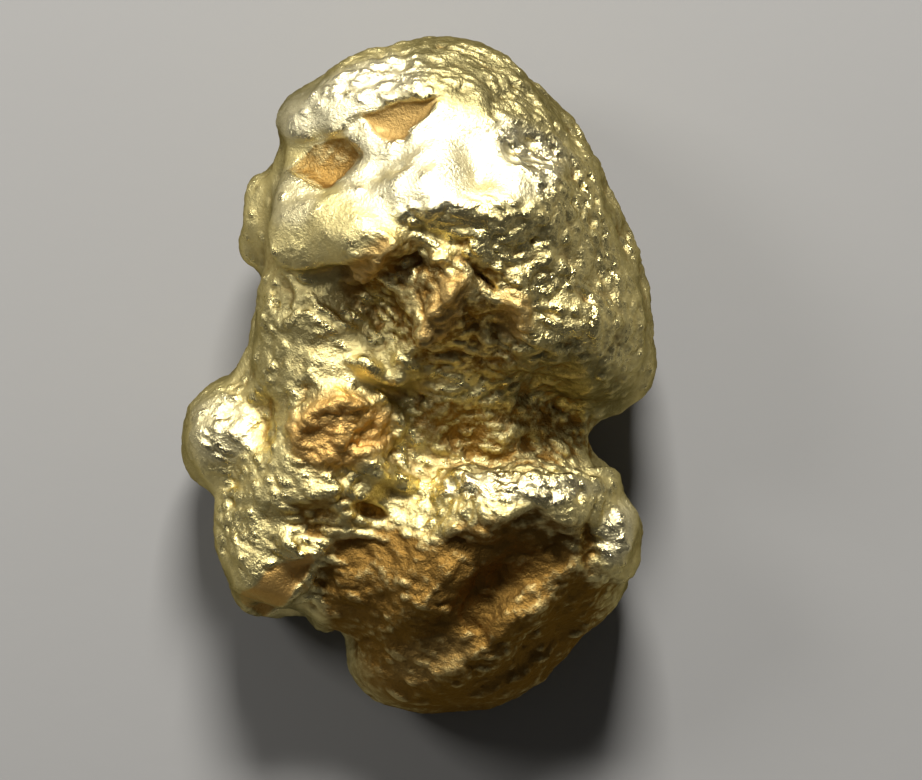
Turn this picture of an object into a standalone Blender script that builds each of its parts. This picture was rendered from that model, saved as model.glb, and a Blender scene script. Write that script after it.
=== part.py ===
"""A gold nugget: one solid, water-worn piece of native gold that lies on its worn underside.

The nugget is a head under a smooth crown, a narrow neck, and a broad lower body, with a round lobe and a
small lobe on its left side. It is built as a sculptor would build it: lumps are pressed together and
fused, then hollows, ridges, ledges and pits are worked into it, and the underside is worn flat.

Lengths are in millimetres until the last step, which puts the mesh in metres. X runs to the right, Y along
the nugget's length towards its crown, and Z up from the surface that it lies on.
"""

import math

import bpy
import bmesh
import numpy as np
from mathutils import Euler, Matrix, Vector, noise

METRES_PER_MM = 0.001

# Mesh densities
LUMP_SUBDIVISIONS = 5
MASS_VOXEL = 0.3
MASS_EASE_PASSES = 14
VOXEL = 0.2
EASE_PASSES = 3
EASE_FACTOR = 0.5
FINAL_EASE_PASSES = 1
TRIANGLES = 9500

# The main masses: centre, radii, turns about X, Y and Z in degrees, and squareness, where 2 is an ellipsoid
# and more is boxier.
MASSES = {
    "head": ((1.6, 5.2, 5.4), (5.5, 7.1, 6.3), (0, 0, 22), 2.1),
    "jaw": ((5.0, 2.4, 4.4), (3.4, 3.7, 5.0), (0, 0, 8), 2.2),
    "brow": ((-1.7, 9.9, 6.0), (3.6, 1.6, 3.4), (0, 0, 25), 2.2),
    "temple": ((-2.9, 6.0, 4.9), (2.7, 3.4, 5.2), (0, 0, -12), 2.0),
    "column": ((-3.0, 1.2, 4.4), (2.9, 5.0, 4.8), (0, 0, 0), 2.4),
    "neck": ((1.2, -1.9, 3.4), (5.1, 3.2, 4.3), (0, 0, 0), 2.3),
    "waist": ((-3.2, -3.4, 4.0), (3.2, 3.4, 4.8), (0, 0, 0), 2.2),
    "body": ((2.7, -6.4, 3.9), (5.4, 3.7, 4.9), (-25, 0, 22), 2.4),
    "foot": ((1.6, -8.8, 2.5), (4.3, 3.4, 3.8), (-22, 0, 24), 2.2),
    "round_lobe": ((-6.5, -2.1, 3.6), (2.1, 2.2, 3.2), (0, 0, 0), 2.0),
    "left_lobe": ((-5.0, -6.05, 3.6), (2.25, 2.35, 3.8), (-14, 0, 12), 2.6),
    "heel": ((-2.4, -7.0, 3.4), (2.4, 2.1, 3.7), (0, 0, 0), 2.2),
}
# Smaller lumps that stay more distinct
KNOBS = {
    "top_knob": ((1.0, 11.2, 5.6), (1.5, 1.0, 1.6), (0, 0, -12), 2.2),
    "ear": ((-5.3, 5.9, 4.6), (1.0, 1.5, 2.0), (0, 0, -8), 2.2),
    "ear_tip": ((-5.8, 4.8, 4.4), (0.7, 0.85, 1.2), (0, 0, 0), 2.2),
    "spur": ((-5.4, 1.5, 4.4), (0.8, 0.95, 1.8), (0, 0, 10), 2.2),
    "spur_tip": ((-6.0, 0.3, 4.2), (0.6, 0.8, 1.2), (0, 0, 0), 2.2),
    "knuckle": ((0.6, -1.0, 7.2), (0.85, 0.8, 0.9), (0, 0, 0), 2.2),
    "hip": ((6.8, -5.8, 4.9), (1.3, 1.5, 2.6), (0, 0, -10), 2.6),
}
# Pulls: centre, reach and how far the surface goes with the pull
PULLS = {
    "jaw_corner": ((7.7, -0.1, 4.2), 3.0, (0.5, -0.5, 0.0)),
    "jaw_fill": ((6.7, -1.2, 4.0), 1.6, (0.0, -0.35, 0.0)),
    "jaw_side": ((7.5, 6.0, 4.6), 2.6, (0.35, 0.1, 0.0)),
    "crown_side": ((4.8, 10.3, 5.4), 3.4, (-0.2, -0.1, 0.0)),
    "crown_shoulder": ((-1.2, 12.0, 5.6), 1.7, (0.1, -0.45, 0.0)),
    "beak": ((-4.9, 9.9, 5.8), 1.5, (-0.05, 0.2, 0.0)),
    "lobe_gap": ((-7.2, -4.7, 3.6), 1.4, (0.45, 0.0, 0.0)),
    "heel_notch": ((-2.3, -9.2, 3.4), 1.5, (0.8, 0.8, 0.0)),
    "heel_tip": ((-3.3, -8.7, 3.2), 1.2, (0.0, -0.4, 0.0)),
    "foot_corner": ((-2.2, -10.4, 2.8), 1.7, (-0.25, 0.1, 0.0)),
    "lobe_toe": ((-6.4, -8.1, 3.2), 1.6, (0.1, -0.35, 0.0)),
    "lobe_top": ((-5.0, -7.6, 5.6), 2.2, (0.0, 0.0, 1.3)),
    "lobe_sole": ((-4.8, -8.6, 3.4), 1.5, (0.0, 0.6, 0.0)),
    "lobe_side": ((-7.5, -6.2, 3.6), 2.0, (0.5, 0.0, 0.0)),
    "ear_side": ((-6.5, 5.9, 4.4), 1.8, (0.35, 0.0, 0.0)),
    "column_side": ((-6.2, 2.2, 4.4), 2.4, (0.3, 0.0, 0.0)),
    "collar_end": ((7.2, -3.5, 4.6), 1.8, (-0.6, 0.0, 0.0)),
    "foot_end": ((1.2, -12.3, 2.8), 3.2, (0.0, 0.65, 0.0)),
}

# Every stroke is read in a plane that is warped by noise, so that no edge runs true: wavelength and amount.
WARPS = ((3.2, 0.35), (1.1, 0.18))
STROKE_TAPER = 0.22

# Hollows pressed into the front: centre, radii, turn in degrees, depth, and rim, where 1 leaves a sharp rim
# and 2 a soft one.
HOLLOWS = {
    "throat": ((-1.3, 2.0), (1.9, 1.1), -42, 0.7, 1.3),
    "eye": ((-0.3, 4.1), (0.6, 0.8), 0, 0.5, 1.3),
    "socket": ((2.5, 1.3), (2.2, 1.4), -12, 0.9, 1.3),
    "slot": ((2.4, 3.35), (0.8, 0.45), -50, 0.6, 1.0),
    "temple_pit": ((5.3, 4.1), (0.7, 0.5), 0, 0.35, 1.3),
    "neck_pit": ((4.3, -2.0), (1.0, 0.5), -20, 0.35, 1.3),
    "waist_hollow": ((-3.6, -4.9), (1.3, 0.7), -12, 0.45, 1.2),
    "waist_slot": ((-1.5, -4.7), (0.8, 0.4), -25, 0.5, 1.0),
    "lobe_pit": ((-7.0, -1.5), (0.6, 0.4), 0, 0.25, 1.2),
}
# Bulges raised on the front in the same way
BULGES = {
    "crown_bulge": ((0.2, 6.6), (2.0, 1.8), 0, 0.35, 1.5),
    "cheek_bulge": ((3.7, 6.4), (1.8, 1.8), 0, 0.4, 1.5),
    "ring_swell": ((-2.7, -1.8), (2.0, 1.7), -20, 0.6, 1.5),
    "cheek_swell": ((5.7, 1.5), (1.9, 1.6), 0, 0.5, 1.5),
    "hip_top": ((7.1, -5.5), (1.1, 1.4), -15, 0.4, 1.5),
}
# Hollows pressed into the underside in the same way
UNDERSIDE_HOLLOWS = {
    "arch": ((2.5, -1.6), (7.0, 1.9), -6, 1.5, 1.4),
    "side_arch": ((-5.6, -3.9), (3.0, 1.5), 10, 1.2, 1.4),
    "crown_dish": ((3.0, 9.2), (2.6, 1.8), 25, 0.8, 1.5),
    "foot_dish": ((5.0, -9.2), (2.2, 1.4), 40, 0.8, 1.5),
    "temple_dish": ((-3.9, 5.3), (1.5, 2.0), 10, 0.7, 1.5),
}
# Flat facets: corners, direction in degrees in which the floor falls, depth, and width of the soft rim
FACETS = {
    "brow_facet": (((-1.9, 9.05), (1.3, 9.7), (0.7, 9.0), (-0.4, 8.15), (-1.0, 8.3)), -80, 0.6, 0.25),
    "temple_facet": (((-4.4, 7.2), (-3.3, 8.3), (-2.1, 8.5), (-1.85, 7.7), (-3.0, 6.5)), -58, 0.7, 0.35),
    "lobe_facet": (
        ((-6.5, -7.5), (-5.0, -6.4), (-3.7, -5.9), (-3.5, -6.4), (-4.6, -7.8), (-5.6, -8.6)),
        -55, 0.35, 0.4,
    ),
    "body_facet": (
        ((2.4, -5.7), (3.2, -4.9), (4.2, -4.5), (4.8, -4.65), (5.7, -5.0), (6.3, -4.6), (6.2, -5.8),
         (5.4, -6.7), (4.0, -7.4), (3.0, -8.5), (1.7, -9.2), (1.5, -8.2), (2.2, -6.7)),
        -70, 0.5, 0.7,
    ),
}
# Grooves: path, half width and depth
GROOVES = {
    "neck_groove": (
        ((-0.6, 0.6), (0.6, 0.2), (2.0, -0.2), (3.6, -0.6), (5.0, -0.9), (6.6, -1.4)),
        1.3, 0.75,
    ),
    "neck_foot": (((7.0, -3.1), (5.6, -2.8), (4.2, -2.7), (3.0, -3.0), (1.8, -2.8), (0.2, -2.8)), 1.4, 0.5),
    "lobe_crease": (((-5.2, -0.2), (-5.6, -1.4), (-5.3, -2.8)), 0.6, 0.4),
    "heel_crease": (((-2.9, -6.7), (-3.5, -7.6), (-4.2, -8.6)), 0.7, 0.45),
    "body_trough": (((0.2, -9.6), (1.8, -8.2), (3.7, -6.8)), 1.1, 0.4),
    "foot_trough": (((2.6, -10.8), (4.4, -9.6), (6.0, -8.2)), 0.8, 0.25),
    "crown_valley": (((2.0, 8.6), (2.2, 7.4), (2.1, 6.0)), 0.8, 0.35),
}
# Ridges: path, half width and height
RIDGES = {
    "collar_left": (((-2.6, -3.0), (-1.4, -3.3), (0.2, -3.5)), 0.7, 0.5),
    "body_ledge": (((0.8, -5.3), (1.8, -5.1), (2.8, -5.3)), 0.6, 0.5),
    "throat_ledge": (((-2.4, 0.8), (-1.2, 0.2), (0.0, 0.1)), 0.6, 0.5),
    "cheek_edge": (((1.8, 3.9), (1.2, 3.0), (0.5, 2.0), (0.2, 0.9)), 0.7, 0.6),
    "eye_ledge": (((0.4, 4.2), (1.5, 4.1)), 0.5, 0.4),
    "eye_edge": (((-0.6, 4.8), (-1.3, 4.0), (-2.2, 3.1)), 0.6, 0.5),
    "socket_edge": (((3.2, 2.9), (3.8, 2.1), (4.2, 1.3)), 0.5, 0.4),
    "ring": (
        ((-3.9, -2.6), (-4.0, -1.5), (-3.0, -0.9), (-1.9, -0.9), (-0.9, -1.3), (-1.0, -2.6)),
        0.7, 0.35,
    ),
    "lobe_edge": (((-5.0, -5.4), (-4.1, -5.9), (-3.0, -6.1)), 0.5, 0.4),
    "foot_ridge": (((0.0, -10.8), (1.9, -10.0), (3.4, -8.7), (5.4, -7.8)), 0.9, 0.5),
}
# Ledges: path with the raised side on its left, width of the drop, reach of the raised side and height
LEDGES = {
    "brow_ledge": (
        ((-7.2, 9.6), (-3.4, 8.5), (-2.2, 8.7), (-1.6, 9.2), (0.0, 9.6), (1.9, 9.8)),
        0.35, 1.8, 0.2,
    ),
    "crown_edge": (
        ((-4.6, 4.4), (-3.2, 4.7), (-1.8, 4.8), (-0.4, 5.6), (1.0, 5.9), (2.6, 5.2), (4.4, 5.4), (6.2, 3.9)),
        1.3, 2.2, 0.4,
    ),
    "temple_edge": (((-5.0, 4.2), (-3.2, 4.5), (-1.6, 4.6), (-0.2, 5.4)), 1.0, 3.2, 1.1),
    "collar": (
        ((7.6, -3.9), (5.6, -3.5), (4.2, -3.4), (3.2, -3.8), (2.0, -3.5), (0.4, -3.4)),
        0.45, 2.4, 1.0,
    ),
    "collar_lip": (
        ((2.2, -5.7), (3.2, -4.8), (4.2, -4.4), (4.7, -4.5), (5.6, -4.9), (6.4, -4.4)),
        0.5, 0.9, 0.45,
    ),
}

# Roughness all over: wavelength and height of each grain
GRAINS = ((2.6, 0.22), (1.3, 0.14))
# Dents all over: how many, radii from and to, depth as a share of the radius, and how soft the rim is
DENTS = 170
DENT_RADII = (0.5, 1.3)
DENT_DEPTH = 0.16
DENT_RIM = 1.5
SEED = 11
# The underside is worn down to this height.
WORN_HEIGHT = 0.0
# Side of the block that is cut away below it, larger than the nugget
GROUND_SIDE = 80.0

# The metal's colour and finish
GOLD_COLOUR = (0.83, 0.61, 0.26, 1.0)
GOLD_METALLIC = 1.0
GOLD_ROUGHNESS = 0.3


def lump(centre, radii, turns, squareness):
    """One ellipsoid, or a boxier form of one, as a bmesh."""
    ball = bmesh.new()
    bmesh.ops.create_icosphere(ball, subdivisions=LUMP_SUBDIVISIONS, radius=1.0)
    for vertex in ball.verts:
        vertex.co /= sum(abs(c) ** squareness for c in vertex.co) ** (1 / squareness)
    turned = Euler([math.radians(t) for t in turns]).to_matrix().to_4x4()
    ball.transform(Matrix.Translation(centre) @ turned @ Matrix.Diagonal((*radii, 1)))
    return ball


def with_lumps(obj, lumps):
    """Adds lumps to an object's mesh, overlapping what is there."""
    heap = bmesh.new()
    heap.from_mesh(obj.data)
    for form in lumps.values():
        ball = lump(*form)
        piece = bpy.data.meshes.new("lump")
        ball.to_mesh(piece)
        ball.free()
        heap.from_mesh(piece)
        bpy.data.meshes.remove(piece)
    heap.to_mesh(obj.data)
    heap.free()
    return obj


def applied(obj):
    """Puts the mesh that the object's modifiers make in place of its own."""
    graph = bpy.context.evaluated_depsgraph_get()
    mesh = bpy.data.meshes.new_from_object(obj.evaluated_get(graph))
    obj.modifiers.clear()
    obj.data = mesh
    return obj


def fused(obj, voxel, passes):
    """Fuses what overlaps into one even skin, and eases its creases."""
    fuse = obj.modifiers.new("Fuse", "REMESH")
    fuse.mode = "VOXEL"
    fuse.voxel_size = voxel
    ease = obj.modifiers.new("Ease", "SMOOTH")
    ease.factor = EASE_FACTOR
    ease.iterations = passes
    return applied(obj)


def smooth_step(t):
    t = np.clip(t, 0.0, 1.0)
    return t * t * (3.0 - 2.0 * t)


class Clay:
    """The points of a mesh, moved along their normals by strokes."""

    def __init__(self, obj):
        self.mesh = obj.data
        self.points = np.empty(len(self.mesh.vertices) * 3)
        self.mesh.vertices.foreach_get("co", self.points)
        self.points = self.points.reshape(-1, 3)
        self.read_normals()
        self.plan = self.points[:, :2].copy()
        for wavelength, amount in WARPS:
            self.plan += amount * self.noise_vectors(wavelength)[:, :2]

    def noise_vectors(self, wavelength):
        return np.array([noise.noise_vector(Vector(p) / wavelength) for p in self.points])

    def noise_heights(self, wavelength):
        return np.array([noise.noise(Vector(p) / wavelength) for p in self.points])

    def read_normals(self):
        normals = np.empty(len(self.mesh.vertices) * 3)
        self.mesh.vertices.foreach_get("normal", normals)
        self.normals = normals.reshape(-1, 3)

    def move(self, heights):
        self.points += self.normals * heights[:, None]
        self.mesh.vertices.foreach_set("co", self.points.ravel())
        self.mesh.update()
        self.read_normals()

    def facing(self, way):
        """1 where the surface faces up, 0 where it faces down, or the other way about for a way of -1."""
        return smooth_step(0.25 + way * self.normals[:, 2] * 1.5)

    def offsets_from(self, path):
        """Distance of each point from a path in plan, its side, 1 for the left, and its share along."""
        lengths = [math.dist(start, end) for start, end in zip(path, path[1:])]
        nearest = np.full(len(self.plan), np.inf)
        side = np.ones(len(self.plan))
        along = np.zeros(len(self.plan))
        for index, (start, end) in enumerate(zip(path, path[1:])):
            run = np.subtract(end, start)
            from_start = self.plan - start
            share = np.clip(from_start @ run / lengths[index] ** 2, 0.0, 1.0)
            gap = from_start - share[:, None] * run
            distance = np.hypot(gap[:, 0], gap[:, 1])
            closer = distance < nearest
            nearest[closer] = distance[closer]
            left = run[0] * gap[:, 1] - run[1] * gap[:, 0]
            side[closer] = np.where(left[closer] >= 0, 1.0, -1.0)
            along[closer] = (sum(lengths[:index]) + share[closer] * lengths[index]) / sum(lengths)
        return nearest, side, along

    def press_hollow(self, centre, radii, turn, depth, rim, way=1):
        angle = math.radians(turn)
        x, y = (self.plan - centre).T
        across = (x * math.cos(angle) + y * math.sin(angle)) / radii[0]
        down = (y * math.cos(angle) - x * math.sin(angle)) / radii[1]
        bowl = np.clip(1.0 - across**2 - down**2, 0.0, 1.0) ** rim
        self.move(-depth * bowl * self.facing(way))

    def cut_facet(self, corners, fall, depth, rim):
        inside = np.zeros(len(self.plan), dtype=bool)
        edge = np.full(len(self.plan), np.inf)
        x, y = self.plan.T
        for start, end in zip(corners, corners[1:] + corners[:1]):
            run = np.subtract(end, start)
            from_start = self.plan - start
            if run[1]:
                crosses = (start[1] > y) != (end[1] > y)
                inside ^= crosses & (x < run[0] * from_start[:, 1] / run[1] + start[0])
            gap = from_start - np.clip(from_start @ run / (run @ run), 0.0, 1.0)[:, None] * run
            edge = np.minimum(edge, np.hypot(gap[:, 0], gap[:, 1]))
        way = np.array((math.cos(math.radians(fall)), math.sin(math.radians(fall))))
        reaches = [np.dot(corner, way) for corner in corners]
        slope = (self.plan @ way - min(reaches)) / (max(reaches) - min(reaches))
        self.move(-depth * slope * inside * smooth_step(edge / rim) * self.facing(1))

    def raise_line(self, path, half_width, height):
        distance, _, along = self.offsets_from(path)
        taper = smooth_step(np.minimum(along, 1.0 - along) / STROKE_TAPER)
        self.move(height * taper * smooth_step(1.0 - distance / half_width) * self.facing(1))

    def raise_ledge(self, path, drop, reach, height):
        distance, side, along = self.offsets_from(path)
        signed = distance * side
        step = np.where(signed > 0, smooth_step(1.0 - signed / reach), smooth_step(1.0 + signed / drop))
        taper = smooth_step(np.minimum(along, 1.0 - along) / STROKE_TAPER)
        self.move(height * taper * step * self.facing(1))

    def pull(self, centre, reach, shift):
        share = smooth_step(1.0 - np.linalg.norm(self.points - centre, axis=1) / reach)
        self.points += share[:, None] * np.array(shift)
        self.move(np.zeros(len(self.points)))

    def roughen(self):
        """Grains of noise, and dents of many sizes over one another, as tumbling in gravel leaves."""
        self.move(sum(height * self.noise_heights(wavelength) for wavelength, height in GRAINS))
        chance = np.random.default_rng(SEED)
        marks = chance.integers(len(self.points), size=DENTS)
        heights = np.zeros(len(self.points))
        for mark, size in zip(marks, chance.random(DENTS)):
            radius = DENT_RADII[0] + (DENT_RADII[1] - DENT_RADII[0]) * size**2
            away = np.linalg.norm(self.points - self.points[mark], axis=1) / radius
            heights -= DENT_DEPTH * radius * np.clip(1.0 - away**2, 0.0, 1.0) ** DENT_RIM
        self.move(heights)


def thinned(obj, triangles):
    """Keeps the given number of triangles, closest where the surface turns most."""
    split = obj.modifiers.new("Split", "TRIANGULATE")
    split.quad_method = "SHORTEST_DIAGONAL"
    applied(obj)
    thin = obj.modifiers.new("Thin", "DECIMATE")
    thin.ratio = triangles / len(obj.data.polygons)
    return applied(obj)


def worn_flat(obj, height):
    """Cuts away all that is below a height, and leaves a flat face there."""
    block = bmesh.new()
    middle = Matrix.Translation((0, 0, height - GROUND_SIDE / 2))
    bmesh.ops.create_cube(block, size=GROUND_SIDE, matrix=middle)
    mesh = bpy.data.meshes.new("ground")
    block.to_mesh(mesh)
    block.free()
    ground = bpy.data.objects.new("ground", mesh)
    bpy.context.scene.collection.objects.link(ground)
    wear = obj.modifiers.new("Wear", "BOOLEAN")
    wear.operation = "DIFFERENCE"
    wear.solver = "EXACT"
    wear.object = ground
    applied(obj)
    bpy.data.objects.remove(ground)
    return obj


def rested(obj):
    """Puts the middle of the underside's bounding box at the origin, and the mesh in metres."""
    corners = np.array([tuple(v.co) for v in obj.data.vertices])
    low, high = corners.min(axis=0), corners.max(axis=0)
    middle = Vector(((low[0] + high[0]) / 2, (low[1] + high[1]) / 2, low[2]))
    obj.data.transform(Matrix.Scale(METRES_PER_MM, 4) @ Matrix.Translation(-middle))
    return obj


def gold():
    material = bpy.data.materials.new("gold")
    material.use_nodes = True
    shader = material.node_tree.nodes["Principled BSDF"]
    shader.inputs["Base Color"].default_value = GOLD_COLOUR
    shader.inputs["Metallic"].default_value = GOLD_METALLIC
    shader.inputs["Roughness"].default_value = GOLD_ROUGHNESS
    return material


def main():
    for old in list(bpy.data.objects):
        bpy.data.objects.remove(old)
    noise.seed_set(SEED)
    nugget = bpy.data.objects.new("nugget", bpy.data.meshes.new("nugget"))
    bpy.context.scene.collection.objects.link(nugget)
    fused(with_lumps(nugget, MASSES), MASS_VOXEL, MASS_EASE_PASSES)
    fused(with_lumps(nugget, KNOBS), VOXEL, EASE_PASSES)
    clay = Clay(nugget)
    for stroke in PULLS.values():
        clay.pull(*stroke)
    for stroke in HOLLOWS.values():
        clay.press_hollow(*stroke)
    for centre, radii, turn, height, rim in BULGES.values():
        clay.press_hollow(centre, radii, turn, -height, rim)
    for stroke in UNDERSIDE_HOLLOWS.values():
        clay.press_hollow(*stroke, way=-1)
    for stroke in FACETS.values():
        clay.cut_facet(*stroke)
    for path, half_width, depth in GROOVES.values():
        clay.raise_line(path, half_width, -depth)
    for stroke in RIDGES.values():
        clay.raise_line(*stroke)
    for stroke in LEDGES.values():
        clay.raise_ledge(*stroke)
    clay.roughen()
    fused(nugget, VOXEL, FINAL_EASE_PASSES)
    thinned(nugget, TRIANGLES)
    worn_flat(nugget, WORN_HEIGHT)
    rested(nugget)
    nugget.data.materials.append(gold())


if __name__ == "__main__":
    main()
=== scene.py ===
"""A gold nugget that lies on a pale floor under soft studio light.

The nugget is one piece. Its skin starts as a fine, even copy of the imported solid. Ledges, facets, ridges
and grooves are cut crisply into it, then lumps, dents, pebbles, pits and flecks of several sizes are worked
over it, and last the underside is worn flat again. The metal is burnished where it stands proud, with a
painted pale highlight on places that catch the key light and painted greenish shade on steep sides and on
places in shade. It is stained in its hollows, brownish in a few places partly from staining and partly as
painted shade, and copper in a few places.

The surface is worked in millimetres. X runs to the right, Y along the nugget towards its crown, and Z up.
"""

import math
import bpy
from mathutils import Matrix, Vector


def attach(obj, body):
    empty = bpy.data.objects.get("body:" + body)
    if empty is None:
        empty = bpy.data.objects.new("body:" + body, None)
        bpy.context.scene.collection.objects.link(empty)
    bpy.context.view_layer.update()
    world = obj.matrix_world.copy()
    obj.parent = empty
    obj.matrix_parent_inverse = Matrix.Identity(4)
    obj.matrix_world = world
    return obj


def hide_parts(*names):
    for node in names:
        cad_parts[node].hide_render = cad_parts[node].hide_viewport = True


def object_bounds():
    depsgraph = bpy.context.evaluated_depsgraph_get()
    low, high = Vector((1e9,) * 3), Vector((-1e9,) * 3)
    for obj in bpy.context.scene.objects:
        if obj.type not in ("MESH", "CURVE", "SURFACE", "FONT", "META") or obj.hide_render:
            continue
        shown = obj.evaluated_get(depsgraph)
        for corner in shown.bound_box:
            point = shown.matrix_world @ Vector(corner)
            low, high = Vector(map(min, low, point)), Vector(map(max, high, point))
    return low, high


bl_info = {
    "name": "Gold Nugget",
    "version": (1, 0, 0),
    "blender": (4, 5, 0),
    "location": "3D View > Sidebar > Nugget",
    "description": "Works the surface of a gold nugget and sets it on a pale floor in a plain studio",
    "category": "Object",
}

import bpy
import numpy as np
from bpy.props import FloatProperty, FloatVectorProperty, IntProperty, PointerProperty
from bpy.types import Operator, Panel, PropertyGroup
from mathutils import Matrix, Vector, kdtree, noise

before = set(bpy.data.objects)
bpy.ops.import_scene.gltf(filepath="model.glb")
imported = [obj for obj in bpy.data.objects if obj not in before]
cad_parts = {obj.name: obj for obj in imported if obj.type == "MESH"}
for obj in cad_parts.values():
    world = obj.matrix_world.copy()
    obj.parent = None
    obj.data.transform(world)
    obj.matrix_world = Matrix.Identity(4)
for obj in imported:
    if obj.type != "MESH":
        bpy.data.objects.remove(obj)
CAD_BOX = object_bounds()

NODE = "nugget"
MM = 0.001
SEED = 11

# From the frame's origin to the origin of the strokes, in millimetres
STROKE_SHIFT = (0.095, -0.03, 0.0)
# How far strokes stray from where they are drawn: wavelength and distance
STRAYS = ((3.2, 0.35), (1.1, 0.18), (0.5, 0.06))
# Share of its radius over which a place fades out
FADE = 0.35
# How far up the surface faces where strokes begin to work, and where they work fully
FRONT = (-0.15, 0.5)
# How far a broad side is turned from facing up, 1 for upright, where it begins to be steep and fully is
STEEP = (0.4, 1.0)
# How rough steep sides are at the least
STEEP_ROUGHNESS = 0.45
# Passes that ease the way the surface faces, to tell its broad sides
BROAD = 40
# Direction in degrees, seen from above, in which most marks run
STRIKE = -18

# Where the surface is rough: centre, radii, turn in degrees and how rough, 1 for most
ROUGH_PLACES = {
    "cheeks": ((2.2, 2.4), (5.6, 3.4), -8, 1.0),
    "neck": ((2.6, -1.8), (5.0, 2.2), 0, 0.9),
    "ring": ((-2.6, -2.4), (2.4, 2.6), 0, 1.0),
    "body": ((2.6, -6.8), (6.4, 5.4), 25, 0.75),
    "heel": ((-2.4, -6.4), (2.4, 2.6), 0, 0.8),
    "lobe": ((-6.8, -1.8), (2.2, 2.0), 0, 0.5),
    "flank": ((6.8, 4.4), (2.8, 6.0), 12, 0.6),
    "column": ((-4.4, 0.8), (2.2, 4.2), 0, 0.4),
    "left_lobe": ((-5.4, -5.2), (2.2, 2.8), 0, 0.5),
}

# Where small dents lie close together: centre, radii, turn in degrees and how close
PEENED_PLACES = {
    "crown_side": ((4.8, 8.2), (1.8, 4.4), 30, 1.0),
    "crown_top": ((0.4, 10.9), (4.4, 1.6), 10, 0.6),
    "crown_foot": ((2.2, 5.2), (4.0, 0.9), -6, 1.0),
    "column_band": ((-4.4, 2.4), (2.2, 0.5), -12, 1.0),
    "collar": ((3.2, -3.7), (3.6, 0.6), 0, 0.8),
    "lobe_side": ((-6.5, -5.2), (1.0, 1.6), 0, 0.7),
    "jaw_side": ((7.0, 2.6), (1.2, 2.6), 10, 0.5),
}

# Ledges: path with the raised side on its left, width of the drop, reach of the raised side and height
LEDGES = {
    "brow": (
        ((-5.6, 9.1), (-4.4, 8.7), (-3.4, 8.5), (-2.2, 8.7), (-1.7, 9.1), (0.0, 9.5), (1.6, 9.8)),
        0.16, 1.3, 0.14,
    ),
    "column_ledge": (((-2.8, 2.2), (-3.6, 2.1), (-4.4, 2.1), (-5.2, 2.4), (-6.0, 2.7)), 0.3, 0.8, 0.08),
    "crown_edge": (
        ((-0.6, 5.3), (0.4, 5.6), (1.2, 5.9), (2.6, 5.4), (3.6, 5.5), (5.2, 5.2)),
        0.35, 1.0, 0.16,
    ),
    "collar": (
        ((6.8, -3.7), (5.4, -3.5), (4.2, -3.4), (3.2, -3.8), (2.0, -3.5), (0.8, -3.4)),
        0.3, 1.2, 0.35,
    ),
    "collar_lip": (
        ((2.2, -5.7), (3.2, -4.8), (4.2, -4.4), (4.7, -4.5), (5.6, -4.9), (6.4, -4.4)),
        0.25, 0.8, 0.3,
    ),
    "collar_left": (((0.1, -3.4), (-0.7, -3.6), (-1.5, -3.4)), 0.2, 0.5, 0.25),
    "waist_ledge": (((-1.4, -3.0), (-1.9, -2.9), (-2.5, -3.1)), 0.2, 0.4, 0.2),
    "throat_ledge": (((-0.2, 0.0), (-1.2, 0.2), (-2.3, 0.7)), 0.2, 0.6, 0.25),
    "body_ledge": (((2.9, -5.4), (2.0, -5.2), (1.1, -5.3)), 0.2, 0.5, 0.25),
}

# Ridges, or grooves where the height is below nothing: path, half width and height
RIDGES = {
    "eye_edge": (((-0.6, 4.7), (-1.0, 4.3), (-1.4, 4.0), (-2.1, 3.0)), 0.3, 0.3),
    "eye_ledge": (((0.5, 4.0), (1.0, 4.0), (1.5, 3.9)), 0.22, 0.25),
    "cheek_edge": (((1.7, 3.7), (1.2, 3.0), (0.6, 2.3), (0.3, 1.6), (0.2, 0.9)), 0.32, 0.35),
    "slot_edge": (((2.7, 3.9), (3.3, 3.4), (3.9, 2.8)), 0.3, 0.25),
    "socket_edge": (((3.4, 2.6), (3.8, 2.0), (4.2, 1.3), (4.4, 0.7)), 0.3, 0.25),
    "socket_fold": (((2.2, 2.4), (2.6, 1.8), (2.8, 1.0)), 0.25, 0.2),
    "ring": (
        ((-3.8, -2.6), (-4.0, -1.9), (-3.8, -1.2), (-3.1, -0.8), (-2.3, -0.9), (-1.6, -0.8), (-0.9, -1.2)),
        0.3, 0.25,
    ),
    "ring_tail": (((-0.9, -1.2), (-0.8, -1.8), (-1.1, -2.4)), 0.3, 0.3),
    "ring_fold": (((-3.0, -1.6), (-2.6, -2.2), (-2.9, -2.8), (-3.6, -3.4)), 0.3, 0.3),
    "waist_fold": (((-2.2, -3.8), (-3.0, -3.9), (-3.9, -3.7)), 0.3, 0.25),
    "lobe_edge": (((-5.0, -5.5), (-4.1, -5.9), (-3.1, -6.1)), 0.25, 0.25),
    "foot_ridge": (
        ((-0.2, -10.7), (0.9, -10.3), (2.0, -9.8), (2.8, -9.0), (3.6, -8.4), (5.6, -7.5)),
        0.4, 0.25,
    ),
    "foot_fold": (((1.4, -11.5), (2.8, -10.9), (4.2, -10.0), (5.4, -9.0)), 0.35, 0.2),
    "body_fold": (((-0.6, -8.6), (0.4, -7.8), (1.2, -6.8), (2.2, -6.2)), 0.35, 0.2),
    "slot": (((1.9, 4.0), (2.2, 3.6), (2.5, 3.2), (2.9, 2.9)), 0.28, -0.6),
    "waist_slot": (((-2.2, -4.4), (-1.5, -4.7), (-0.8, -4.9)), 0.35, -0.25),
    "hip_cleft": (((5.9, -4.9), (6.3, -5.6), (6.2, -6.6)), 0.35, -0.3),
    "flute_1": (((-5.0, 2.2), (-4.9, 1.0), (-4.9, -0.6)), 0.35, -0.12),
    "flute_2": (((-3.9, 2.0), (-3.9, 0.8), (-4.0, -0.8)), 0.4, -0.14),
    "flute_3": (((-4.2, 4.2), (-4.3, 3.4), (-4.4, 2.4)), 0.4, -0.1),
}

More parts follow.
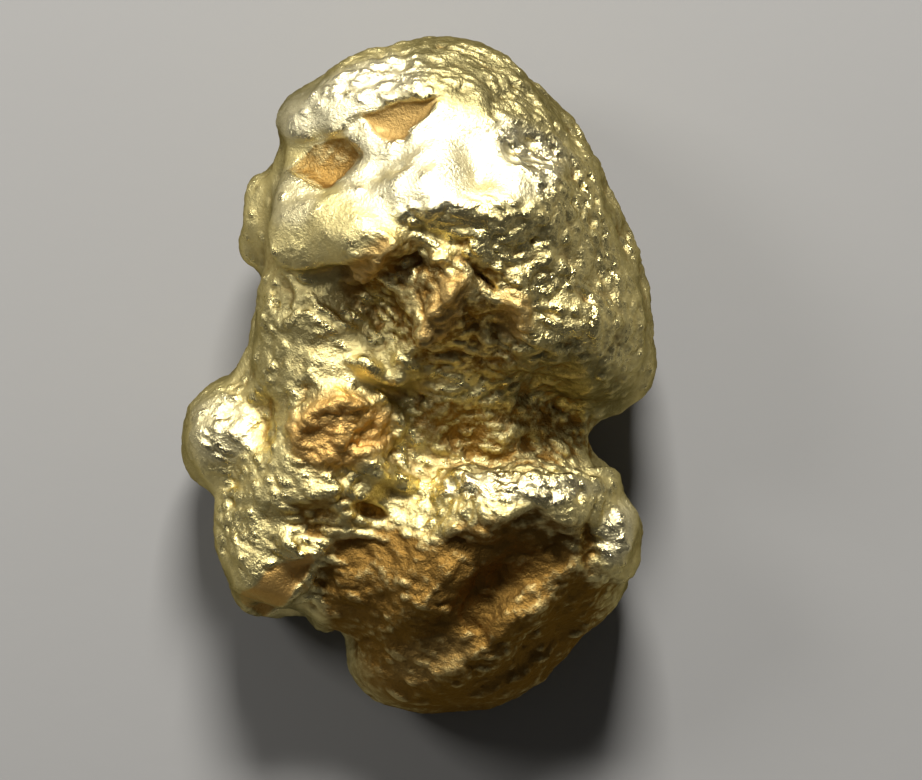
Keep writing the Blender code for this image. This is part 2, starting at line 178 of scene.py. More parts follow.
# Flat facets cut into the surface: corners, direction in degrees in which the floor falls, depth and rim
FACETS = {
    "brow": (((-1.9, 9.05), (1.3, 9.7), (0.7, 9.0), (-0.4, 8.15), (-1.0, 8.3)), -80, 0.3, 0.08),
    "temple": (((-4.4, 7.2), (-3.3, 8.3), (-2.1, 8.5), (-1.85, 7.7), (-3.0, 6.5)), -58, 0.25, 0.08),
    "lobe": (
        ((-6.5, -7.5), (-5.0, -6.4), (-3.7, -5.9), (-3.5, -6.4), (-4.6, -7.8), (-5.6, -8.6)),
        -55, 0.1, 0.1,
    ),
    "body": (
        ((2.4, -5.7), (3.2, -4.9), (4.2, -4.5), (4.8, -4.65), (5.7, -5.0), (6.3, -4.6), (6.2, -5.8),
         (5.4, -6.7), (4.0, -7.4), (3.0, -8.5), (1.7, -9.2), (1.5, -8.2), (2.2, -6.7)),
        -70, 0.25, 0.12,
    ),
}

# Facets that stay flat and clean-cut while the surface around them is worked
FLAT_FACETS = {"brow": 0.9, "temple": 0.9, "lobe": 0.6}

# Noise that raises the surface: kind, height, wavelength, turn in degrees and stretch along it
RELIEF = {
    "lumps": ("grain", 0.14, 1.5, 0, 1.0),
    "folds": ("wrinkle", 0.06, 1.1, STRIKE, 1.6),
    "smooth_faces": ("cells", 0.07, 1.5, 0, 1.0),
    "rough_faces": ("cells", 0.08, 1.1, STRIKE, 1.4),
    "small_faces": ("cells", 0.03, 0.7, 0, 1.0),
    "small_lumps": ("grain", 0.05, 0.55, STRIKE, 1.6),
    "pebbles": ("pebbles", 0.045, 0.7, STRIKE, 1.8),
    "small_pebbles": ("pebbles", 0.035, 0.36, STRIKE, 1.6),
}

# Round dents: count, least and greatest radius, depth as a share of the radius, and seed
DENTS = {
    "hammered": (500, (0.3, 0.8), 0.12, 3),
    "peened": (900, (0.2, 0.42), 0.18, 9),
    "pitted": (1500, (0.1, 0.3), 0.22, 5),
}
# How steeply a dent's side falls
DENT_RIM = 1.5

# Long flecks: count, half length, half width, height, turn in degrees and seed
FLECKS = (1500, 0.42, 0.2, 0.11, STRIKE, 7)
# How much the flecks' directions differ, in degrees
FLECK_LEAN = 14.0

# The height below which the underside is worn flat
WORN = 0.04

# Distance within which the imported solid's loose corners are merged
MERGE = 0.0001
# How far each smoothing pass moves a point towards its neighbours
SMOOTHING = 0.5

# Hollows and high places: passes of easing that they are measured against, and the depths or heights in
# millimetres where they begin and where they are full
NARROW_HOLLOWS = (60, -0.06, 0.16)
WIDE_HOLLOWS = (400, -0.15, 0.5)
HIGH_PLACES = (12, 0.005, 0.03)

# Where the metal is painted a dark brownish colour, partly as real staining and partly as painted shade on
# the lower body, the neck and the recesses: centre, radii, turn in degrees and how much. Facets get it too
BROWN_STAIN_AND_SHADE_PLACES = {
    "foot": ((2.4, -9.0), (5.8, 4.6), 30, 1.0),
    "body": ((-0.8, -7.6), (3.2, 2.8), 0, 1.0),
    "neck": ((3.4, -1.9), (4.6, 1.3), -6, 0.5),
    "waist": ((-2.6, -4.9), (2.6, 1.0), -10, 0.45),
    "socket": ((1.6, 2.2), (3.0, 2.4), -20, 0.45),
    "eyes": ((-1.4, 3.9), (1.6, 1.0), 40, 0.4),
}
BROWN_STAIN_AND_SHADE_FACETS = {"body": 0.6, "brow": 0.8, "temple": 0.6}

# Where the metal has a dull copper tinge
COPPER_PLACES = {
    "ring": ((-2.7, -1.9), (2.0, 1.8), 0, 1.0),
    "eye": ((-1.6, 3.9), (1.2, 0.6), 50, 0.7),
    "cheek": ((1.0, 2.4), (0.7, 1.6), -25, 0.7),
    "socket": ((3.6, 2.0), (0.7, 1.2), 25, 0.6),
    "foot": ((0.6, -9.9), (1.8, 0.8), 20, 0.2),
}
COPPER_FACETS = {"brow": 0.4, "temple": 0.1, "lobe": 1.0}

# Where a pale highlight is painted on the metal, on places that catch the key light
PAINTED_HIGHLIGHT_PLACES = {
    "dome": ((-0.2, 7.5), (3.8, 2.3), -4, 1.0),
    "bulge": ((3.6, 7.4), (1.8, 1.8), 0, 0.8),
    "plate": ((-2.4, 9.8), (3.6, 1.3), 15, 1.0),
    "temple": ((-4.2, 6.2), (1.0, 1.4), 0, 0.6),
    "lobe": ((-7.0, -1.8), (1.4, 1.4), 0, 0.6),
    "collar": ((3.6, -3.8), (3.4, 0.6), 0, 0.6),
    "hip": ((7.2, -5.4), (0.8, 1.2), -15, 0.7),
}

# Where shade is painted on the metal in a dull greenish colour, on places that lie in shade or face away from
# the light
OLIVE_SHADE_PLACES = {
    "neck": ((3.4, -1.7), (4.8, 1.6), -6, 1.0),
    "jaw": ((5.0, -0.2), (3.6, 1.5), -12, 1.0),
    "throat": ((-0.4, 0.9), (1.8, 1.4), 0, 0.4),
    "column": ((-4.4, 1.0), (1.8, 2.4), 0, 0.5),
    "left_lobe": ((-5.8, -5.6), (1.8, 2.2), 0, 0.3),
    "crown": ((2.8, 10.5), (4.3, 1.9), -22, 1.0),
}
OLIVE_SHADE_FACETS = {"brow": 0.2, "temple": 1.0}

# Noise in the metal and the floor, on places in metres, and how deep each one's tooth goes
PATCHES = {"Scale": 420.0, "Detail": 4.0}
GRIT = {"Scale": 3600.0, "Detail": 3.0, "Roughness": 0.6}
TOOTH = {"Scale": 9000.0, "Detail": 3.0, "Roughness": 0.7}
FLOOR_TOOTH = {"Scale": 900.0, "Detail": 3.0}
TOOTH_DEPTH = 0.00008
FLOOR_DEPTH = 0.0001

# What the skin's points carry for the metal, each from 0 to 1
LAYERS = ("hollow", "rough", "burnish", "brown_stain_and_shade", "copper", "pale", "olive_shade")

# Soft lights: place, aim and size in metres
LIGHTS = {
    "key": ((0.005, 0.15, 0.14), (0.0, 0.003, 0.006), (0.06, 0.045)),
    "fill": ((-0.12, 0.07, 0.12), (0.0, 0.0, 0.005), (0.05, 0.05)),
}
LIGHT_COLOUR = (1.0, 0.98, 0.95)

# The view, 922 pixels wide and 780 high: its middle, the origin of the strokes and pixels to the millimetre
VIEW_MIDDLE = (461, 390)
VIEW_ORIGIN = (416, 378)
VIEW_SCALE = 28
# Height above the floor of the level that the view's width is measured on
VIEW_LEVEL = 0.005


def between(low, high, value):
    """0 below low, 1 above high, and an even rise between them."""
    share = np.clip((value - low) / (high - low), 0.0, 1.0)
    return share * share * (3.0 - 2.0 * share)


class Metal:
    """The points of the skin in millimetres, and the tools that work them."""

    def __init__(self, mesh):
        self.mesh = mesh
        self.points = self.read("co")
        self.normals = self.read("normal")
        self.plan = (self.points + STROKE_SHIFT)[:, :2]
        for wavelength, distance in STRAYS:
            self.plan += distance * self.noise_vectors(wavelength)
        edges = np.empty(len(mesh.edges) * 2, dtype=np.int64)
        mesh.edges.foreach_get("vertices", edges)
        self.edges = edges.reshape(-1, 2)
        self.rough = self.share_of(ROUGH_PLACES)
        self.flat = np.zeros(len(self.points))

    def read(self, attribute):
        values = np.empty(len(self.mesh.vertices) * 3)
        self.mesh.vertices.foreach_get(attribute, values)
        return values.reshape(-1, 3)

    def write(self):
        self.mesh.vertices.foreach_set("co", self.points.ravel())
        self.mesh.update()
        self.normals = self.read("normal")

    def move(self, heights):
        self.points += self.normals * (heights * (1.0 - self.flat))[:, None]
        self.write()

    def noise_vectors(self, wavelength):
        places = self.points + STROKE_SHIFT
        return np.array([noise.noise_vector(Vector(place) / wavelength)[:2] for place in places])

    def marks(self, wavelength, turn, stretch):
        """Places in a pattern whose marks run in the turned direction, made longer by the stretch."""
        angle = math.radians(turn)
        x, y, z = self.points.T
        along = (x * math.cos(angle) + y * math.sin(angle)) / stretch
        across = y * math.cos(angle) - x * math.sin(angle)
        return map(Vector, np.stack((along, across, z), axis=1) / wavelength)

    def grain(self, *pattern):
        """Noise from about -1 to 1."""
        return np.array([noise.noise(place) for place in self.marks(*pattern)])

    def cells(self, *pattern):
        """Uneven cells: 0 in the middle of each, and about 1 on the sharp lines where they meet."""
        return np.array([2.0 * noise.voronoi(place)[0][0] ** 2 for place in self.marks(*pattern)])

    def pebbles(self, *pattern):
        """Rounded bumps from -1 to 1 with sharp creases between them."""
        return 2.0 * np.clip(np.abs(self.grain(*pattern)) * 2.4, 0.0, 1.0) ** 0.8 - 1.0

    def wrinkle(self, *pattern):
        """Sharp crests from -1 to 1 that run in the turned direction."""
        return 1.0 - 2.0 * np.clip(np.abs(self.grain(*pattern)) * 2.2, 0.0, 1.0)

    def relief(self, name):
        """Heights of a named kind of noise."""
        kind, height, *pattern = RELIEF[name]
        return height * getattr(self, kind)(*pattern)

    def front(self):
        return between(*FRONT, self.normals[:, 2])

    def share_of(self, places):
        """How much each point belongs to places that are ellipses seen from above."""
        share = np.zeros(len(self.points))
        for centre, radii, turn, amount in places.values():
            angle = math.radians(turn)
            x, y = (self.plan - centre).T
            across = (x * math.cos(angle) + y * math.sin(angle)) / radii[0]
            down = (y * math.cos(angle) - x * math.sin(angle)) / radii[1]
            share = np.maximum(share, amount * between(0.0, FADE, 1.0 - np.hypot(across, down)))
        return share

    def offsets_from(self, path):
        """Each point's distance from a path seen from above, its side, 1 for the left, and share along."""
        lengths = [math.dist(start, end) for start, end in zip(path, path[1:])]
        nearest = np.full(len(self.plan), np.inf)
        side = np.ones(len(self.plan))
        along = np.zeros(len(self.plan))
        for index, (start, end) in enumerate(zip(path, path[1:])):
            run = np.subtract(end, start)
            from_start = self.plan - start
            share = np.clip(from_start @ run / lengths[index] ** 2, 0.0, 1.0)
            gap = from_start - share[:, None] * run
            distance = np.hypot(gap[:, 0], gap[:, 1])
            closer = distance < nearest
            nearest[closer] = distance[closer]
            left = run[0] * gap[:, 1] - run[1] * gap[:, 0]
            side[closer] = np.where(left[closer] >= 0, 1.0, -1.0)
            along[closer] = (sum(lengths[:index]) + share[closer] * lengths[index]) / sum(lengths)
        return nearest, side, along

    def raise_line(self, path, half_width, height):
        distance, _, along = self.offsets_from(path)
        taper = between(0.0, 0.25, np.minimum(along, 1.0 - along))
        self.move(height * taper * np.clip(1.0 - distance / half_width, 0.0, 1.0) ** 1.4 * self.front())

    def raise_ledge(self, path, drop, reach, height):
        distance, side, along = self.offsets_from(path)
        signed = distance * side
        step = np.where(signed > 0, between(-1.0, 0.0, -signed / reach), between(-drop, 0.0, signed))
        taper = between(0.0, 0.2, np.minimum(along, 1.0 - along))
        self.move(height * taper * step * self.front())

    def facet(self, corners, fall, depth, rim):
        """How much each point belongs to a facet, seen from above, and how far its floor has fallen there."""
        inside = np.zeros(len(self.plan), dtype=bool)
        edge = np.full(len(self.plan), np.inf)
        x, y = self.plan.T
        for (ax, ay), (bx, by) in zip(corners, corners[1:] + corners[:1]):
            crosses = (ay > y) != (by > y)
            with np.errstate(divide="ignore", invalid="ignore"):
                inside ^= crosses & (x < (bx - ax) * (y - ay) / (by - ay) + ax)
            run = np.array((bx - ax, by - ay))
            from_start = self.plan - (ax, ay)
            share = np.clip(from_start @ run / (run @ run), 0.0, 1.0)
            gap = from_start - share[:, None] * run
            edge = np.minimum(edge, np.hypot(gap[:, 0], gap[:, 1]))
        way = np.array((math.cos(math.radians(fall)), math.sin(math.radians(fall))))
        reaches = [np.dot(corner, way) for corner in corners]
        slope = (self.plan @ way - min(reaches)) / (max(reaches) - min(reaches))
        return inside * between(0.0, rim, edge) * self.front(), depth * slope

    def cut_facet(self, *facet):
        """Cuts a flat floor that falls in one direction."""
        floor, fall = self.facet(*facet)
        self.move(-fall * floor)

    def tinge(self, places, facets):
        """How much each point belongs to places and facets of one colour."""
        share = self.share_of(places) * (0.3 + 0.7 * between(-0.4, 0.2, self.normals[:, 2]))
        for name, amount in facets.items():
            share = np.maximum(share, amount * self.facet(*FACETS[name])[0])
        return share

    def wear_flat(self, height):
        """Wears away what lies below the height."""
        self.points[:, 2] = np.maximum(self.points[:, 2], height)
        self.write()

    def finder(self):
        """A tree that finds the points near a place."""
        tree = kdtree.KDTree(len(self.points))
        for index, point in enumerate(self.points):
            tree.insert(point, index)
        tree.balance()
        return tree

    def near(self, tree, mark, reach):
        """The points within reach of a marked point, and how far away they are."""
        found = tree.find_range(self.points[mark], reach)
        return np.array([index for _, index, _ in found]), np.array([away for _, _, away in found])

    def dent(self, name, weight):
        """Presses round dents at points that are picked by chance, more often where the weight is high."""
        count, (least, most), depth, seed = DENTS[name]
        chance = np.random.default_rng(seed)
        tree = self.finder()
        heights = np.zeros(len(self.points))
        marks = chance.choice(len(self.points), size=count, p=weight / weight.sum())
        for mark, size in zip(marks, chance.random(count)):
            radius = least + (most - least) * size**2
            index, away = self.near(tree, mark, radius)
            heights[index] -= depth * radius * (1.0 - (away / radius) ** 2) ** DENT_RIM
        self.move(heights)

    def raise_flecks(self, weight):
        """Raises long, low flecks at points picked by chance, and tells each point's share in them."""
        count, half_length, half_width, height, turn, seed = FLECKS
        chance = np.random.default_rng(seed)
        tree = self.finder()
        share = np.zeros(len(self.points))
        marks = chance.choice(len(self.points), size=count, p=weight / weight.sum())
        for mark, size, lean in zip(marks, chance.random(count), chance.normal(0.0, FLECK_LEAN, count)):
            length = half_length * (0.5 + size)
            index, away = self.near(tree, mark, length)
            angle = math.radians(turn + lean)
            gap = self.points[index] - self.points[mark]
            along = gap[:, 0] * math.cos(angle) + gap[:, 1] * math.sin(angle)
            across = np.sqrt(np.maximum(away**2 - along**2, 0.0))
            inside = np.clip(1.0 - (along / length) ** 2 - (across / half_width) ** 2, 0.0, 1.0)
            share[index] = np.maximum(share[index], inside * (0.6 + 0.4 * size))
        self.move(height * share)
        return share

    def eased(self, values, passes):
        """The values after as many passes of moving each halfway to the mean of its neighbours'."""
        first, second = self.edges.T
        size = len(values)
        count = np.bincount(first, minlength=size) + np.bincount(second, minlength=size)
        for _ in range(passes):
            total = np.bincount(first, values[second], size) + np.bincount(second, values[first], size)
            values = 0.5 * values + 0.5 * total / count
        return values

    def broad_front(self):
        """How far up each point faces once that is eased over the surface."""
        return self.eased(self.normals[:, 2], BROAD)

    def depth(self, passes):
        """How far each point lies below the eased surface, in millimetres."""
        eased = np.stack([self.eased(axis, passes) for axis in self.points.T], axis=1)
        return np.einsum("ij,ij->i", eased - self.points, self.normals)

    def hollow(self, passes, start, full):
        return between(start, full, self.depth(passes))

    def high(self, passes, start, full):
        return between(start, full, -self.depth(passes))

    def store(self, name, values):
        layer = self.mesh.attributes.new(name, "FLOAT", "POINT")
        layer.data.foreach_set("value", values.astype(np.float32))


class Socket:
    """A node's output that Python's operators join with Math nodes."""

    def __init__(self, tree, socket):
        self.tree = tree
        self.socket = socket

    def maths(self, operation, first, second):
        return self.tree.node("ShaderNodeMath", {"operation": operation}, {0: first, 1: second})

    def __add__(self, other):
        return self.maths("ADD", self, other)

    def __radd__(self, other):
        return self.maths("ADD", other, self)

    def __sub__(self, other):
        return self.maths("SUBTRACT", self, other)

    def __rsub__(self, other):
        return self.maths("SUBTRACT", other, self)

    def __mul__(self, other):
        return self.maths("MULTIPLY", self, other)

    def __rmul__(self, other):
        return self.maths("MULTIPLY", other, self)

    def ramp(self, low, high):
        """0 where this is below low, 1 where it is above high."""
        limits = {"Value": self, "From Min": low, "From Max": high}
        return self.tree.node("ShaderNodeMapRange", {"interpolation_type": "SMOOTHSTEP"}, limits)


class MaterialTree:
    """A material's nodes, with one method that makes any of them."""

    def __init__(self, name):
        self.material = bpy.data.materials.new(name)
        self.material.use_nodes = True
        self.nodes = self.material.node_tree.nodes
        self.links = self.material.node_tree.links
        self.shader = self.nodes["Principled BSDF"]

    def join(self, value, target):
        if isinstance(value, Socket):
            self.links.new(value.socket, target)
        else:
            target.default_value = value

    def node(self, kind, settings=None, inputs=None, output=0):
        made = self.nodes.new(kind)
        for name, value in (settings or {}).items():
            setattr(made, name, value)
        for name, value in (inputs or {}).items():
            self.join(value, made.inputs[name])
        return Socket(self, made.outputs[output])

    def mix(self, share, first, second):
        """From the first colour to the second, by the share."""
        return self.node("ShaderNodeMix", {"data_type": "RGBA"}, {0: share, 6: first, 7: second}, output=2)

    def finish(self, **inputs):
        for name, value in inputs.items():
            self.join(value, self.shader.inputs[name.replace("_", " ")])
        return self.material


class NuggetSkin(PropertyGroup):
    """Sizes of the nugget's worked surface."""

    voxel: FloatProperty(
        name="Skin",
        description="Size of the even mesh that the surface is worked on",
        default=0.000095,
        unit="LENGTH",
        precision=6,
    )
    ease: IntProperty(name="Ease", description="Passes that take the solid's facets away", default=14)
    triangles: IntProperty(
        name="Triangles", description="How many triangles the finished skin keeps", default=194000
    )


class NuggetFinish(PropertyGroup):
    """Colours and gloss of the metal."""

    bright: FloatVectorProperty(
        name="Bright gold",
        description="Clean metal",
        default=(0.93, 0.79, 0.36),
        subtype="COLOR",
    )
    # Colour of the painted highlight on places that catch the key light
    pale: FloatVectorProperty(
        name="Pale gold",
        description="Metal that is worn bright",
        default=(0.97, 0.89, 0.6),
        subtype="COLOR",
    )
    # The colour of real staining in hollows, and also of the painted shade on the lower body, the neck and
    # the recesses
    deep: FloatVectorProperty(
        name="Deep gold",
        description="Stained metal in hollows",
        default=(0.33, 0.19, 0.045),
        subtype="COLOR",
    )
    copper: FloatVectorProperty(
        name="Copper tinge",
        description="Dull metal with a copper tinge",
        default=(0.78, 0.5, 0.16),
        subtype="COLOR",
    )
    # Colour of the painted shade on steep sides and on places that lie in shade or face away from the light
    olive_shade: FloatVectorProperty(
        name="Weathered gold",
        description="Weathered metal on steep sides and in the neck",
        default=(0.28, 0.24, 0.105),
        subtype="COLOR",
    )
    edge: FloatVectorProperty(
        name="Edge tint",
        description="Tint of the reflection at a glancing angle",
        default=(0.18, 0.15, 0.09),
        subtype="COLOR",
    )
    gloss: FloatProperty(
        name="Burnished roughness", description="Roughness of high places", default=0.23, subtype="FACTOR"
    )
    dull: FloatProperty(
        name="Dull roughness", description="Roughness of hollows", default=0.48, subtype="FACTOR"
    )


class Studio(PropertyGroup):
    """The floor, the lights and the camera."""

    floor_size: FloatProperty(name="Floor", description="Side of the floor", default=0.6, unit="LENGTH")
    floor_colour: FloatVectorProperty(
        name="Floor colour",
        description="Colour of the floor",
        default=(0.33, 0.326, 0.316),
        subtype="COLOR",
    )
    room: FloatProperty(name="Room light", description="Strength of the light from all round", default=0.05)
    key: FloatProperty(
        name="Key light", description="Power of the light beyond the crown", default=0.62, unit="POWER"
    )
    fill: FloatProperty(
        name="Fill light", description="Power of the light on the left", default=0.09, unit="POWER"
    )
    lens: FloatProperty(
        name="Lens", description="Focal length of the camera", default=180.0, unit="CAMERA"
    )
    view_width: FloatProperty(
        name="View", description="Width that the camera sees", default=0.03293, unit="LENGTH"
    )


def copy_of(node):
    """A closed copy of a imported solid, in millimetres."""
    bpy.ops.object.select_all(action="DESELECT")
    piece = node.copy()
    piece.data = node.data.copy()
    piece.animation_data_clear()
    for key in [key for key in piece.keys() if key.startswith("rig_")]:
        del piece[key]
    bpy.context.scene.collection.objects.link(piece)
    piece.parent = None
    piece.data.materials.clear()
    piece.data.transform(Matrix.Scale(1 / MM, 4))
    bpy.context.view_layer.objects.active = piece
    piece.select_set(True)
    bpy.ops.object.mode_set(mode="EDIT")
    bpy.ops.mesh.select_all(action="SELECT")
    bpy.ops.mesh.remove_doubles(threshold=MERGE)
    bpy.ops.object.mode_set(mode="OBJECT")
    return piece


def modify(piece, kind, **settings):
    """Adds a modifier and applies it."""
    modifier = piece.modifiers.new(kind.title(), kind)
    for name, value in settings.items():
        setattr(modifier, name, value)
    bpy.context.view_layer.objects.active = piece
    bpy.ops.object.modifier_apply(modifier=modifier.name)


def fit_to(mesh, low, high):
    """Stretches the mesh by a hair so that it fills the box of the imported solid."""
    points = np.empty(len(mesh.vertices) * 3)
    mesh.vertices.foreach_get("co", points)
    points = points.reshape(-1, 3)
    least, most = points.min(axis=0), points.max(axis=0)
    points = (points - least) / (most - least) * (np.subtract(high, low)) + low
    mesh.vertices.foreach_set("co", points.ravel())
    mesh.update()


def gold(finish):
    tree = MaterialTree("native_gold")
    place = tree.node("ShaderNodeTexCoord", output="Object")
    fine, patch, grit = (
        tree.node("ShaderNodeTexNoise", {}, {"Vector": place, **pattern})
        for pattern in (TOOTH, PATCHES, GRIT)
    )
    hollow, rough, burnish, brown_stain_and_shade, copper, pale, olive_shade = (
        tree.node("ShaderNodeAttribute", {"attribute_name": name}, output="Fac") for name in LAYERS
    )
    coarse = rough + olive_shade * 0.7
    glint = grit.ramp(0.55, 0.66) * coarse * (1.0 - brown_stain_and_shade * 0.8) * (1.0 - copper * 0.7)
    shine = burnish + glint * 0.6
    # Darker where the metal is stained: real staining in hollows and rough places with noise, and painted
    # shade where the brownish places stand for shade
    dirt_and_shade = hollow * 0.55 + rough * 0.15 + brown_stain_and_shade * 0.8 + (patch - 0.5) * 0.9 + (0.5 - grit) * coarse * 1.4
    stain_and_shade = (dirt_and_shade - shine * 0.3 - pale * 0.3).ramp(0.1, 0.9)
    # Painted shade in a dull greenish colour, less on burnished places and brownish places
    olive_shade_share = olive_shade * (1.0 - shine * 0.5) * (1.0 - brown_stain_and_shade * 0.7) * 0.9
    # Painted highlight: a pale gold on places that catch the key light
    colour = tree.mix(pale * 0.8, (*finish.bright, 1.0), (*finish.pale, 1.0))
    colour = tree.mix(olive_shade_share, colour, (*finish.olive_shade, 1.0))
    colour = tree.mix(copper, colour, (*finish.copper, 1.0))
    colour = tree.mix(stain_and_shade * (1.0 - copper * 0.6), colour, (*finish.deep, 1.0))
    polish = shine * (1.0 - stain_and_shade * 0.6) * (1.0 - copper * 0.8) * (1.0 - olive_shade * 0.5) * (1.0 - brown_stain_and_shade * 0.6)
    dulling = 1.0 - polish
    matte = finish.gloss + dulling * (finish.dull - finish.gloss) + copper * 0.12 + brown_stain_and_shade * 0.15
    roughness = matte - pale * 0.05 + (fine - 0.5) * 0.2
    relief = fine * 0.6 + grit * (0.3 + coarse)
    bump = tree.node("ShaderNodeBump", {}, {"Strength": 1.0, "Distance": TOOTH_DEPTH, "Height": relief})
    return tree.finish(
        Base_Color=colour, Metallic=1.0, Roughness=roughness, Normal=bump, Specular_Tint=(*finish.edge, 1.0)
    )


def plain_floor(studio):
    tree = MaterialTree("pale_floor")
    place = tree.node("ShaderNodeTexCoord", output="Object")
    tooth = tree.node("ShaderNodeTexNoise", {}, {"Vector": place, **FLOOR_TOOTH})
    bump = tree.node("ShaderNodeBump", {}, {"Strength": 0.05, "Distance": FLOOR_DEPTH, "Height": tooth})
    return tree.finish(Base_Color=(*studio.floor_colour, 1.0), Roughness=0.8, Normal=bump)


def carve(metal):
    """Cuts the ledges, facets, ridges and grooves, and raises the broadest lumps."""
    for stroke in LEDGES.values():
        metal.raise_ledge(*stroke)
    for stroke in FACETS.values():
        metal.cut_facet(*stroke)
    for stroke in RIDGES.values():
        metal.raise_line(*stroke)
    metal.move((metal.relief("lumps") + metal.relief("folds")) * (0.3 + 0.7 * metal.rough))


def work(metal):
    """Works the fine surface, and stores what the metal's colours and gloss depend on."""
    metal.flat = metal.tinge({}, FLAT_FACETS)
    # Brownish places: partly real staining, partly painted shade on the lower body, the neck and the recesses
    brown_stain_and_shade = metal.tinge(BROWN_STAIN_AND_SHADE_PLACES, BROWN_STAIN_AND_SHADE_FACETS)
    copper = metal.tinge(COPPER_PLACES, COPPER_FACETS)
    peened = metal.share_of(PEENED_PLACES)
    steep = between(*STEEP, 1.0 - metal.broad_front())
    rough = np.maximum(metal.rough * (1.0 - 0.8 * metal.tinge({}, COPPER_FACETS)), STEEP_ROUGHNESS * steep)
    smooth = 1.0 - rough
    front = metal.front()
    metal.move((metal.relief("smooth_faces") * smooth + metal.relief("rough_faces") * rough) * front)
    metal.move((metal.relief("small_faces") * smooth + metal.relief("small_lumps") * rough) * front)
    metal.dent("hammered", 0.3 + smooth)
    metal.move(metal.relief("pebbles") * (0.12 + 0.88 * rough) * (0.5 + 0.5 * front))
    metal.move(metal.relief("small_pebbles") * (0.15 + 0.85 * rough))
    metal.dent("peened", peened)
    metal.dent("pitted", 0.1 + rough)
    flecked = (0.03 + rough + 2.0 * peened) * (1.0 - 0.85 * brown_stain_and_shade) * between(0.2, 0.6, metal.broad_front())
    flecks = metal.raise_flecks(flecked)
    metal.wear_flat(WORN)
    proud = metal.high(*HIGH_PLACES)
    layers = {
        "hollow": 0.5 * metal.hollow(*NARROW_HOLLOWS) + 0.5 * metal.hollow(*WIDE_HOLLOWS),
        "rough": rough,
        "burnish": np.maximum(proud * (0.3 + 0.7 * smooth), between(0.2, 0.6, flecks)),
        "brown_stain_and_shade": brown_stain_and_shade,
        "copper": copper,
        # Painted pale highlight, kept off the copper and brownish places
        "pale": metal.tinge(PAINTED_HIGHLIGHT_PLACES, {}) * (1.0 - np.maximum(copper, brown_stain_and_shade)),
        # Painted shade: the named places and every steep side
        "olive_shade": np.maximum(metal.tinge(OLIVE_SHADE_PLACES, OLIVE_SHADE_FACETS), steep),
    }
    for name in LAYERS:
        metal.store(name, layers[name])


class NUGGET_OT_skin(Operator):
    """Make the nugget's fine surface in place of the plain solid"""

    bl_idname = "nugget.skin"
    bl_label = "Nugget"

    def execute(self, context):
        skin = context.scene.nugget_skin
        piece = copy_of(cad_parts[NODE])
        piece.name = "nugget_skin"
        modify(piece, "REMESH", mode="VOXEL", voxel_size=skin.voxel / MM)
        modify(piece, "SMOOTH", factor=SMOOTHING, iterations=skin.ease)
        noise.seed_set(SEED)
        carve(Metal(piece.data))
        modify(piece, "REMESH", mode="VOXEL", voxel_size=skin.voxel / MM)
        modify(piece, "SMOOTH", factor=SMOOTHING, iterations=1)
        work(Metal(piece.data))
        modify(piece, "TRIANGULATE")
        modify(piece, "DECIMATE", ratio=min(1.0, skin.triangles / len(piece.data.polygons)))
        piece.data.transform(Matrix.Scale(MM, 4))
        fit_to(piece.data, *CAD_BOX)
        piece.data.shade_smooth()
        piece.data.materials.append(gold(context.scene.nugget_finish))
        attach(piece, "root")
        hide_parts(NODE)
        return {"FINISHED"}


def soft_light(name, power):
    place, aim, size = LIGHTS[name]
    data = bpy.data.lights.new(name, "AREA")
    data.shape = "RECTANGLE"
    data.size, data.size_y = size
    data.energy = power
    data.color = LIGHT_COLOUR
    light = bpy.data.objects.new(name, data)
    light.location = place
    light.rotation_euler = (Vector(aim) - Vector(place)).to_track_quat("-Z", "Y").to_euler()
    bpy.context.scene.collection.objects.link(light)


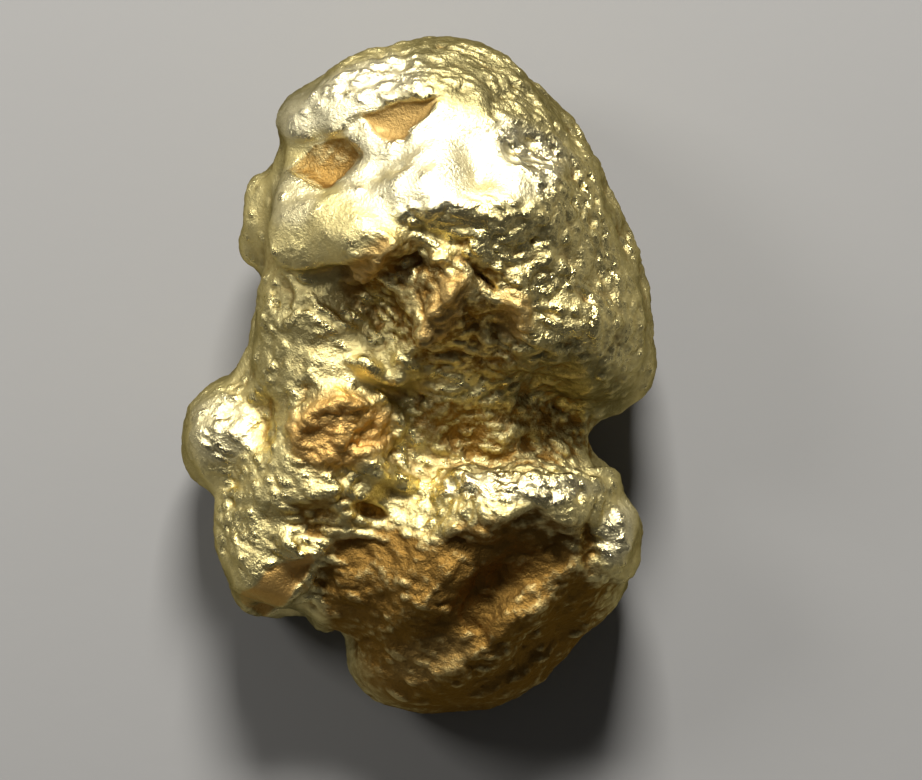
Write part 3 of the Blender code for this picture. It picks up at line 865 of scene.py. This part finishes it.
class NUGGET_OT_stage(Operator):
    """Set the floor, the soft lights and the camera"""

    bl_idname = "nugget.stage"
    bl_label = "Stage"

    def execute(self, context):
        studio = context.scene.nugget_studio
        bpy.ops.object.select_all(action="DESELECT")
        bpy.ops.mesh.primitive_plane_add(size=studio.floor_size)
        floor = context.object
        floor.name = "floor"
        floor.data.materials.append(plain_floor(studio))
        world = bpy.data.worlds.new("room")
        world.use_nodes = True
        sky = world.node_tree.nodes["Background"]
        sky.inputs["Color"].default_value = (*LIGHT_COLOUR, 1.0)
        sky.inputs["Strength"].default_value = studio.room
        context.scene.world = world
        soft_light("key", studio.key)
        soft_light("fill", studio.fill)
        data = bpy.data.cameras.new("camera")
        data.lens = studio.lens
        data.clip_start = 0.01
        data.clip_end = 10.0
        camera = bpy.data.objects.new("camera", data)
        context.scene.collection.objects.link(camera)
        across = (VIEW_MIDDLE[0] - VIEW_ORIGIN[0]) / VIEW_SCALE - STROKE_SHIFT[0]
        up = (VIEW_ORIGIN[1] - VIEW_MIDDLE[1]) / VIEW_SCALE - STROKE_SHIFT[1]
        height = studio.view_width * data.lens / data.sensor_width
        camera.location = (across * MM, up * MM, height + VIEW_LEVEL)
        context.scene.camera = camera
        context.scene.view_settings.view_transform = "Standard"
        return {"FINISHED"}


class NUGGET_PT_panel(Panel):
    """The nugget's pieces and settings"""

    bl_idname = "NUGGET_PT_panel"
    bl_label = "Gold Nugget"
    bl_space_type = "VIEW_3D"
    bl_region_type = "UI"
    bl_category = "Nugget"

    def draw(self, context):
        for operator, groups in ROWS:
            box = self.layout.box()
            box.operator(operator.bl_idname)
            for group in groups:
                for name in GROUPS[group].__annotations__:
                    box.prop(getattr(context.scene, group), name)


GROUPS = {"nugget_skin": NuggetSkin, "nugget_finish": NuggetFinish, "nugget_studio": Studio}
ROWS = (
    (NUGGET_OT_skin, ("nugget_skin", "nugget_finish")),
    (NUGGET_OT_stage, ("nugget_studio",)),
)
CLASSES = (*GROUPS.values(), NUGGET_OT_skin, NUGGET_OT_stage, NUGGET_PT_panel)


def register():
    for cls in CLASSES:
        bpy.utils.register_class(cls)
    for name, group in GROUPS.items():
        setattr(bpy.types.Scene, name, PointerProperty(type=group))


def unregister():
    for name in GROUPS:
        delattr(bpy.types.Scene, name)
    for cls in reversed(CLASSES):
        bpy.utils.unregister_class(cls)


def main():
    register()
    bpy.ops.nugget.skin()
    bpy.ops.nugget.stage()


if __name__ == "__main__":
    main()
